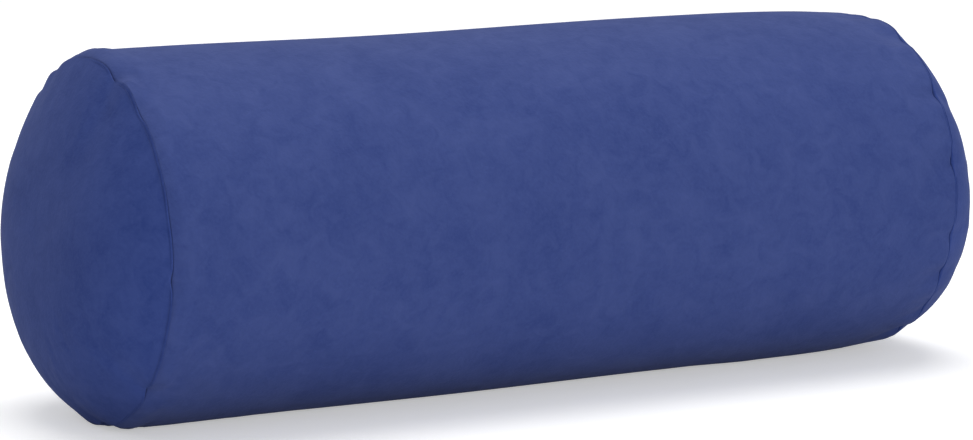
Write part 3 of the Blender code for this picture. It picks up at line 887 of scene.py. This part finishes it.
# Fine creases in the cotton: ridged seeded waves, stronger towards its seams
def linerCreases(xs, angles):
    rng = np.random.default_rng(33)
    total = 0
    for _ in range(14):
        along, turns = rng.uniform(20, 160), rng.integers(2, 22)
        wave = np.sin(along * xs + turns * angles + rng.uniform(0, 6.28))
        total = total + (1 - np.abs(wave)) ** 3 * rng.uniform(0.3, 1)
    near = 0.3 + 0.7 * smoothStep(0.12, 0.21, np.abs(xs))
    return liner["crease"] * total / 3 * near


# The pad's outside: the cover's, set in, drawn in towards its seams by a cube, less the zip's
# hollow and the creases
def linerRadius(xs, angles, inset):
    radii, _ = tubeSurface(xs * pillow["seamX"] / liner["seamX"], angles)
    run = np.maximum(np.abs(xs) - (liner["seamX"] - liner["shoulder"]), 0) / liner["shoulder"]
    drop = (radii - liner["inset"] - liner["seamRadius"]) * np.minimum(run, 1) ** 3
    return radii - liner["inset"] - inset - drop - zipDent(xs, angles) - linerCreases(xs, angles)


linerAngles = np.linspace(0, 2 * math.pi, 180, endpoint=False)[None, :]
linerFloor = pillow["coverWall"] + 0.0004


# The pad's tube as a grid, with a small quarter-circle lip at each seam
def linerTubeGrid():
    lip = liner["lip"]
    spread = np.linspace(-1, 1, 110)
    wall = (liner["seamX"] - lip) * np.tanh(1.3 * spread) / math.tanh(1.3)
    turn = np.radians([25, 50, 70, 90])
    lipX = np.concatenate([liner["seamX"] - lip + lip * np.sin(turn), [liner["seamX"]] * 2])
    lipDrop = np.concatenate([lip * (1 - np.cos(turn)), lip + np.array([0.0006, 0.0014])])
    xs = np.concatenate([-lipX[::-1], wall, lipX])[:, None]
    drops = np.concatenate([lipDrop[::-1], np.zeros(len(wall)), lipDrop])[:, None]
    return aboutAxis(xs, linerRadius(xs, linerAngles, 0) - drops, linerAngles, linerFloor)


# An end of the pad: a dome and a turned-back rim, as the cover's, with creases pressed in
def linerEnd(side):
    end = leftEnd if side < 0 else rightEnd
    shape = dict(end, seamRadius=liner["seamRadius"], bulge=liner["bulge"][side > 0], squareness=4.5)
    out, radii, share = endPath(shape, np.full(linerAngles.shape, liner["lip"]), 0.0003)
    xs = liner["seamX"] + out * endLean(shape, linerAngles, radii, share)
    creases = linerCreases(radii * 2, linerAngles) * share * smoothStep(0, 0.02, radii)
    radii = radii - linerCreases(np.array([[liner["seamX"]]]), linerAngles) * (1 - share)
    return aboutAxis(side * (xs - creases), radii, linerAngles, linerFloor)


linerTube = addShell("liner_tube", linerTubeGrid(), liner["wall"], cotton, "liner_body", True)
for side, word in ((-1, "left"), (1, "right")):
    wall, node = liner["wall"], f"liner_end_{word}"
    panel = addShell(f"liner_panel_{word}", linerEnd(side), wall, cotton, node, True, True)

filling = {
    "slack": 0.0022,
    "lump": 0.0016,
    "clump": 0.0007,
    "endX": 0.206,
    "bulge": (0.0300, 0.0322),
    "lift": 0.0018,  # above the pad's underside
}


# Clumps of fibre: large and small seeded waves, pressed in only
def fillingLumps(xs, angles):
    rng = np.random.default_rng(8)
    total = 0
    for size, weight, count in ((60, filling["lump"], 8), (240, filling["clump"], 10)):
        for _ in range(count):
            along, turns = rng.uniform(0.3, 1) * size, rng.integers(1, int(size * 0.09))
            bend = 0.6 * np.sin(0.4 * along * xs + rng.uniform(0, 6.28))
            wave = np.sin(along * xs + bend) * np.sin(turns * angles + 2 * bend + rng.uniform(0, 6.28))
            total = total + weight * (1 + wave) / count
    return total


# One closed body: the tube's shape drawn in to a dome at each end
def makeFilling():
    wall = filling["endX"] * np.tanh(1.3 * np.linspace(-1, 1, 130)) / math.tanh(1.3)
    xs, radii, places = wall[:, None], linerRadius(wall[:, None], linerAngles, filling["slack"]), []
    floor = linerFloor + filling["lift"]
    body = aboutAxis(xs, radii - fillingLumps(xs, linerAngles), linerAngles, floor)
    for side in (-1, 1):
        end = leftEnd if side < 0 else rightEnd
        edge = radii[0 if side < 0 else -1]
        share = (1 - (1 - np.linspace(0.02, 0.985, 26)) ** 1.6)[:, None]
        bulge = filling["bulge"][side > 0] * (1 - share**4.5)
        lean = endLean(end, linerAngles, share * end["seamRadius"], 1)
        out = filling["endX"] + bulge * lean - fillingLumps(share * edge, linerAngles) * (1 - share)
        lumps = fillingLumps(np.full_like(share, side * filling["endX"]), linerAngles) * share
        places.append(aboutAxis(side * out, share * edge - lumps, linerAngles, floor))
    rows = np.concatenate([places[0], body, places[1][::-1]])
    count, columns = rows.shape[:2]
    faces = [gridQuads(count, columns, False, True)]
    points = closeEnds(rows.reshape(-1, 3), faces, count, columns)
    return addMesh("filling", points, faces, fibre, "fibre_filling")


makeFilling()
print("pad ready")


# A run of machine stitches along a line: the thread lies on the surface and dips through
# it at each needle hole. It returns how far the thread stands above its line.
def stitchRise(run, stitch, lift, dip):
    place = np.mod(run / stitch, 1) - 0.5
    return lift - (lift + dip) * np.exp(-((place / 0.13) ** 2))


stitching = {
    "length": 0.0028,
    "radius": 0.00022,
    "points": 9,
    "lift": 0.0002,
    "dip": 0.0005,
    "seamDepth": 0.0019,
    "backDepth": 0.0022,
    "linerDepth": 0.0012,
    "linerOut": 0.00015,
    "linerLength": 0.0026,
    "linerRadius": 0.00016,
    "zipLift": 0.00008,
    "zipDip": 0.0004,
}


# The thread round an end seam, down in its groove, following the seam's puckers
def seamRing(end, seamX, radius, depthOf, floor, stitch):
    turns = int(2 * math.pi * radius / stitch)
    angles = np.linspace(0, 2 * math.pi, turns * stitching["points"], endpoint=False)
    rise = stitchRise(angles / (2 * math.pi) * turns, 1, stitching["lift"], stitching["dip"])
    radii = radius + rise - depthOf(angles)
    return aboutAxis(end["side"] * seamX, radii, angles, floor)


def outwards(path):
    out = path - np.array([0, 0, axisHeight])
    out[..., 0] = 0
    return out


for word, end in (("left", leftEnd), ("right", rightEnd)):
    def coverDepth(angles):
        depth = puckerDepth(end, angles, np.zeros(1), 4) * (0.25 + 0.75 * calmAtZip(angles))
        swell = tubeSwell(end["side"] * pillow["seamX"], angles)
        return depth + tube["lip"] * seamShow(end, angles) - swell

    ringRadius = end["seamRadius"] - stitching["seamDepth"]
    path = seamRing(end, pillow["seamX"], ringRadius, coverDepth, 0, stitching["length"])
    path[:, 0] += seamWander(end, np.linspace(0, 2 * math.pi, len(path), endpoint=False))
    thread = stitching["radius"], coverThread, "cover_thread", f"cover_seam_thread_{word}"
    addTube(f"cover_thread_{word}", path, outwards(path), *thread, closed=True)

    def linerDepth(angles):
        return linerCreases(np.full(len(angles), liner["seamX"]), angles)

    ring = liner["seamX"] + stitching["linerOut"], liner["seamRadius"] - stitching["linerDepth"]
    path = seamRing(end, *ring, linerDepth, linerFloor, stitching["linerLength"])
    thread = stitching["linerRadius"], cottonThread, "cotton_thread", f"liner_seam_thread_{word}"
    addTube(f"liner_thread_{word}", path, outwards(path), *thread, closed=True)


# Points at a place along the zip, across it and out from the pillow's axis, on a plane
def onZip(xs, across, out):
    xs, across, out = np.broadcast_arrays(xs, across, out)
    flat = across[..., None] * zipUp + out[..., None] * zipOut + np.array([0, 0, axisHeight])
    return flat + np.stack([xs, np.zeros(xs.shape), np.zeros(xs.shape)], -1)


# The same round the pillow's curve: how far across becomes an angle about its axis
def roundZip(xs, across, out):
    return aboutAxis(xs, out, zipAngle + across / pillowRadius)


# A straight line of stitches as long as a node: places along the pillow, and the rise at each
def stitchLine(node, lift, dip):
    low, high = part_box(node)
    length = high.x - low.x
    run = np.linspace(0, length, int(length / stitching["length"]) * stitching["points"])
    return low.x + run, stitchRise(run, stitching["length"], lift, dip)


for word in ("left", "right"):
    node = f"back_seam_thread_{word}"
    xs, rise = stitchLine(node, stitching["lift"], stitching["dip"])
    seamFloor = tubeSurface(xs, np.full(len(xs), zipAngle))[0] - stitching["backDepth"]
    path = roundZip(xs, np.zeros(len(xs)), seamFloor + rise)
    addTube(f"back_thread_{word}", path, zipOut, stitching["radius"], coverThread, "cover_thread", node)

for way, word in ((1, "upper"), (-1, "lower")):
    node = f"zip_stitch_{word}"
    xs, rise = stitchLine(node, stitching["zipLift"], stitching["zipDip"])
    across = way * stitchFurrow["across"] + np.zeros(len(xs))
    path = roundZip(xs, across, pillowRadius - stitchFurrow["depth"] + rise)
    addTube(f"zip_stitching_{word}", path, zipOut, stitching["radius"], coverThread, "cover_thread", node)

# The hand-sewn whip stitch that closes the pad: a flattened helix along the seam
closing = {
    "pitch": 0.0026,
    "half": 0.0008,
    "height": 0.00025,
    "radius": 0.0002,
    "slant": 0.0005,
    "steps": 12,
}
alongZip = np.array([1.0, 0, 0])


def makeClosingStitch():
    node = "liner_closing_stitch"
    low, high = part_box(node)
    steps = closing["steps"]
    turn = np.arange(int((high.x - low.x) / closing["pitch"]) * steps) * (2 * math.pi / steps)
    middle = np.array([0, (low.y + high.y) / 2, (low.z + high.z) / 2 - axisHeight])
    xs = low.x + turn / (2 * math.pi) * closing["pitch"] + closing["slant"] * np.sin(turn)
    across = middle @ zipUp + closing["half"] * np.sin(turn)
    path = onZip(xs, across, middle @ zipOut + closing["height"] * np.cos(turn))
    addTube("closing_stitch", path, alongZip, closing["radius"], cottonThread, "cotton_thread", node)


makeClosingStitch()
print("stitching ready")

coil = {
    "pitch": 0.00125,
    "wire": 0.0004,
    "inner": 0.00033,
    "outer": 0.0026,
    "bottom": 0.0003,  # above the tapes
    "top": 0.0021,
    "steps": 10,
}


# Each row is one nylon wire wound in flattened loops, with a head swollen towards the other row
def coilPath(way, low, high, bottom, top):
    loops = int((high - low) / coil["pitch"])
    start = 0 if way > 0 else math.pi  # one row's loops stand half a turn on from the other's
    turn = np.arange(loops * coil["steps"]) * (2 * math.pi / coil["steps"]) + start
    middle = (coil["outer"] + coil["inner"]) / 2
    half = (coil["outer"] - coil["inner"]) / 2 - coil["wire"]
    across = middle + half * np.sign(np.cos(turn)) * np.abs(np.cos(turn)) ** 0.8
    out = (bottom + top) / 2 + ((top - bottom) / 2 - coil["wire"]) * np.sin(turn)
    step = coil["pitch"] * ((high - low) / coil["pitch"] - 1) / loops
    xs = low + coil["wire"] + turn / (2 * math.pi) * step
    return onZip(xs, way * across, out)


tape = {
    "sunk": 0.0019,  # below the plush
    "wall": 0.0006,
    "edge": 0.00033,
    "width": 0.0142,
    "cord": 0.0002,
    "ripple": 0.00012,
}
tapeOuter = pillowRadius - tape["sunk"]


# A zip tape: a woven strip round the pillow's curve, with a low cord woven along its edge
# under the teeth and another along its far edge
def addTape(way, word):
    low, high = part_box(f"zip_tape_{word}")
    xs = np.linspace(low.x, high.x, 90)[:, None]
    run = np.linspace(0, 1, 22)[None, :]
    across = tape["edge"] + tape["width"] * run + tape["ripple"] * np.sin(55 * xs + way) * run
    cords = np.exp(-(((run - 0.21) / 0.03) ** 2)) + 0.7 * np.exp(-(((run - 0.96) / 0.03) ** 2))
    grid = roundZip(xs, way * across, tapeOuter + tape["cord"] * cords + 0 * xs)
    addShell(f"zip_ribbon_{word}", grid, tape["wall"], tapeCloth, f"zip_tape_{word}")


for way, word in ((1, "upper"), (-1, "lower")):
    node = f"zip_coil_{word}"
    low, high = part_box(node)
    path = coilPath(way, low.x, high.x, tapeOuter + coil["bottom"], tapeOuter + coil["top"])
    addTube(f"zip_teeth_{word}", path, alongZip, coil["wire"], nylon, "zip_coil", node, 4)
    addTape(way, word)


# A crimped metal stop: rounded-square sections along the zip, drawn in at both ends and
# nipped at its crimps
def addStop(name, node, across, out, crimps):
    low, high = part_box(node)
    count, sides = 25, 28
    run = np.linspace(-1, 1, count)[:, None]
    turn = np.linspace(0, 2 * math.pi, sides, endpoint=False)[None, :]
    size = (1 - np.abs(run * 0.995) ** 5) ** 0.2
    for place in crimps:
        size = size * (1 - 0.13 * np.exp(-(((run - place) / 0.14) ** 2)))
    square = (np.abs(np.cos(turn)) ** 5 + np.abs(np.sin(turn)) ** 5) ** -0.2
    xs = (low.x + high.x) / 2 + (high.x - low.x) / 2 * run
    acrossAt = sum(across) / 2 + (across[1] - across[0]) / 2 * size * square * np.cos(turn)
    outAt = sum(out) / 2 + (out[1] - out[0]) / 2 * size * square * np.sin(turn)
    faces = [gridQuads(count, sides, False, True)]
    points = closeEnds(onZip(xs, acrossAt, outAt).reshape(-1, 3), faces, count, sides)
    addMesh(name, points, faces, enamel, node)


stop = {"near": 0.0006, "far": 0.0026, "bottom": 0.0003, "top": 0.0028, "crimp": 0.45}
stopOut = tapeOuter + stop["bottom"], tapeOuter + stop["top"]
addStop("top_stop_upper", "zip_top_stop_upper", (stop["near"], stop["far"]), stopOut, (0,))
addStop("top_stop_lower", "zip_top_stop_lower", (-stop["far"], -stop["near"]), stopOut, (0,))
crimps = -stop["crimp"], stop["crimp"]
addStop("bottom_stop", "zip_bottom_stop", (-stop["far"], stop["far"]), stopOut, crimps)


# A copy of a solid with its doubles merged, in the zip's own directions
def zipCopy(name, node, body, shape):
    source = frame["nodes"][node]
    mesh = source.data.copy()
    points = np.empty(len(mesh.vertices) * 3, np.float32)
    mesh.vertices.foreach_get("co", points)
    local = points.reshape(-1, 3).astype(float) - np.array([0, 0, axisHeight])
    axes = np.column_stack([[1, 0, 0], zipUp, zipOut])
    local = shape(local @ axes)
    world = local @ axes.T + np.array([0, 0, axisHeight])
    mesh.vertices.foreach_set("co", world.astype(np.float32).ravel())
    made = bmesh.new()
    made.from_mesh(mesh)
    bmesh.ops.remove_doubles(made, verts=made.verts, dist=0.00001)
    bmesh.ops.dissolve_limit(made, angle_limit=0.02, verts=made.verts, edges=made.edges)
    made.to_mesh(mesh)
    made.free()
    mesh.materials.clear()
    mesh.materials.append(enamel)
    mesh.shade_smooth()
    piece = addObject(name, mesh)
    bevel = piece.modifiers.new("softEdges", "BEVEL")
    bevel.width, bevel.segments, bevel.limit_method = slider["softEdge"], 3, "ANGLE"
    bevel.angle_limit = math.radians(35)
    bevel.harden_normals = True
    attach(piece, body)
    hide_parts(node)


slider = {"taper": 0.07, "softEdge": 0.00022}
sliderLow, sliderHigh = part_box("zip_slider")


# The slider narrows a little towards the joined teeth, by a smooth step along its length
def sliderShape(local):
    run = (local[:, 0] - sliderLow.x) / (sliderHigh.x - sliderLow.x)
    local[:, 1] *= 1 - slider["taper"] * (1 - smoothStep(0, 0.8, run))
    return local


zipCopy("slider", "zip_slider", "slider", sliderShape)

tab = {
    "length": 0.022,
    "halfWidth": 0.00325,
    "half": 0.0006,
    "rim": 0.0008,
    "recess": 0.00018,
    "slot": 0.0049,
    "softEdge": 0.00028,
}
hingePlace = np.array(hinge["pos_m"])


# The tab: closed loops round it at growing insets, carried over its rounded edge, its rim
# and its recess, down through the slot and back underneath
def makeTab():
    def outline(inset):
        half, nose = tab["halfWidth"] - inset, tab["halfWidth"] - inset
        corner = max(0.0009 - inset, 0.0002)
        back, front = tab["half"] - inset, -tab["length"] + inset + nose
        turn = np.linspace(0, math.pi / 2, 7)[:, None]
        first = np.hstack([back - corner + corner * np.cos(turn), half - corner + corner * np.sin(turn)])
        side = np.column_stack([np.linspace(back - corner, front, 15)[1:-1], np.full(13, half)])
        arc = np.linspace(math.pi / 2, math.pi, 12)[:, None]
        second = np.hstack([front + nose * np.cos(arc), nose * np.sin(arc)])
        upper = np.vstack([first, side, second])
        return np.vstack([upper, upper[-2::-1][:-1] * [1, -1], first[:1] * [1, -1]])

    def slotLine(inset):
        half, near, far = 0.0011 + inset, -tab["half"] - inset, -tab["slot"] - inset
        count = len(outline(0)) // 2 + 1
        corners = np.array([[near, 0.0002], [near, half], [far, half], [far, 0.0]])
        marks = np.array([0, 6, 19, count - 1])
        steps = np.arange(count)
        upper = np.column_stack([np.interp(steps, marks, corners[:, axis]) for axis in (0, 1)])
        return np.vstack([upper, upper[-2::-1] * [1, -1]])

    half, rim, recess, soft = tab["half"], tab["rim"], tab["recess"], tab["softEdge"]
    turn = np.radians([0, 30, 60, 90])
    loops = []
    for angle in turn:
        loops.append((outline(soft * (1 - math.cos(angle))), half - soft + soft * math.sin(angle)))
    loops += [(outline(rim), half), (outline(rim + 0.0002), half - recess)]
    loops += [(slotLine(0.00055), half - recess), (slotLine(0.0004), half)]
    loops += [(slotLine(0.00015), half), (slotLine(0.0), half - 0.00015)]
    mirrored = [(line, -height) for line, height in loops[::-1]]
    rings = [np.column_stack([line, np.full(len(line), height)]) for line, height in loops + mirrored]
    rows = np.stack(rings)  # x runs along the zip, y across it and z out of the pillow
    points = hingePlace + rows[..., :1] * [1, 0, 0] + rows[..., 1:2] * zipUp + rows[..., 2:] * zipOut
    count, columns = rows.shape[:2]
    faces = [gridQuads(count, columns, True, True)]
    addMesh("pull_tab", points, faces, enamel, "zip_pull_tab", "pull_tab")


makeTab()
print("zip ready")

# The care label: a satin ribbon folded double and caught in the back seam
label = {
    "gap": 0.00034,
    "wall": 0.00013,
    "lift": 0.0012,
    "wave": 0.0004,
    "base": 0.0005,
    "tuck": 0.0012,
    "caught": 0.0008,  # its upper edge is this far below the zip's middle
    "drop": 0.024,
    "cut": 0.048,
}
labelLow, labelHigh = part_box("care_label")
labelWidth = labelHigh.x - labelLow.x


# The ribbon goes down, turns over in a half circle and comes back up underneath. Its free end
# lifts off the pillow with the square of how far down it is, and more at its two sides.
def makeLabel():
    drop, count = label["drop"], 34
    run = np.linspace(0, 1, count)
    fold = np.linspace(0, math.pi, 7)[1:-1]
    across = np.concatenate([drop * run, drop + label["gap"] / 2 * np.sin(fold), drop * run[::-1]])
    turned = label["gap"] / 2 * (1 + np.cos(fold))
    rise = np.concatenate([np.full(count, label["gap"]), turned, np.zeros(count)])
    share = (across / drop)[:, None]
    xs = np.linspace(0, 1, 15)[None, :]
    curl = label["lift"] * share**2 * (0.35 + 0.65 * np.abs(2 * xs - 1) ** 2)
    curl = curl + label["wave"] * share * np.sin(5 * xs + 1)
    tucked = label["tuck"] * np.exp(-((share * drop / label["tuck"]) ** 2))
    out = pillowRadius + label["base"] + rise[:, None] + curl - tucked
    place = labelLow.x + labelWidth * (xs + 0.012 * share * np.sin(3 * share))
    down = -label["caught"] - across[:, None]
    grid = roundZip(place + np.zeros_like(out), down + np.zeros_like(out), out)
    return addShell("care_label_ribbon", grid, label["wall"], satin, "care_label")


makeLabel()
print("label ready")

# The stage, the light and the camera
view = {
    "azimuth": -30.27,
    "elevation": 8.45,
    "distance": 2.007,
    "lens": 150.2,
    "shift": (-0.00904, -0.01295),
}

floorMaterial, floorTree, floorShader, floorPlace = startMaterial("paleFloor", 0.9)
grain = addNode(floorTree, "TexNoise", Scale=6.0, Detail=3.0)
floorTree.links.new(floorPlace, grain.inputs["Vector"])
floorColour = mixColours(floorTree, grain.outputs["Fac"], (0.82, 0.82, 0.82), (0.85, 0.85, 0.85))
floorTree.links.new(floorColour, floorShader.inputs["Base Color"])
# The floor looks brighter than it lights, so that it stays pale to the eye
sight = floorTree.nodes.new("ShaderNodeLightPath")
lift = addNode(floorTree, "Emission", Color=(1, 1, 1, 1))
glow = mathNode(floorTree, "MULTIPLY", sight.outputs["Is Camera Ray"], 0.42)
floorTree.links.new(glow, lift.inputs["Strength"])
both = floorTree.nodes.new("ShaderNodeAddShader")
floorTree.links.new(floorShader.outputs[0], both.inputs[0])
floorTree.links.new(lift.outputs[0], both.inputs[1])
floorTree.links.new(both.outputs[0], floorTree.nodes["Material Output"].inputs["Surface"])
floorHalf, floorHeight = 8, -0.0005
corners = np.array([(-1, -1), (1, -1), (1, 1), (-1, 1)]) * floorHalf
floorMesh = meshOf("floor", np.column_stack([corners, np.full(4, floorHeight)]), [np.arange(4)[None]])
floorMesh.materials.append(floorMaterial)
addObject("floor", floorMesh)

bpy.context.scene.view_settings.view_transform = "Standard"
studio = {
    "world": 0.38,
    "lights": [  # name, place, size, power
        ("overheadLight", (0.25, 0.3, 2.5), 2.2, 49.0),
        ("rightLight", (0.9, -2.0, 0.12), 1.6, 18.0),
        ("leftLight", (-0.7, -2.0, 0.25), 1.4, 14.5),
        ("rimLight", (-1.5, 1.5, 0.9), 1.2, 4.0),
    ],
}
world = bpy.data.worlds.new("softStudio")
world.use_nodes = True
world.node_tree.nodes["Background"].inputs["Color"].default_value = (1, 1, 1, 1)
world.node_tree.nodes["Background"].inputs["Strength"].default_value = studio["world"]
bpy.context.scene.world = world


# Stands a light or a camera at a place, turned towards the pillow's middle
def standAt(name, data, place):
    away = np.array(place, float) - np.array([0, 0, axisHeight])
    stand = addObject(name, data)
    stand.location = place
    stand.rotation_euler = math.acos(away[2] / np.linalg.norm(away)), 0, math.atan2(away[0], -away[1])
    return stand


for name, place, size, power in studio["lights"]:
    light = bpy.data.lights.new(name, "AREA")
    light.energy, light.size = power, size
    standAt(name, light, place)

turned, raised = math.radians(view["azimuth"]), math.radians(view["elevation"])
level = math.cos(raised)
direction = np.array([math.sin(turned) * level, -math.cos(turned) * level, math.sin(raised)])
cameraPlace = np.array([0, 0, axisHeight]) + view["distance"] * direction
cameraData = bpy.data.cameras.new("camera")
cameraData.sensor_width = 36
cameraData.lens = view["lens"]
cameraData.shift_x, cameraData.shift_y = view["shift"]
bpy.context.scene.camera = standAt("camera", cameraData, cameraPlace)
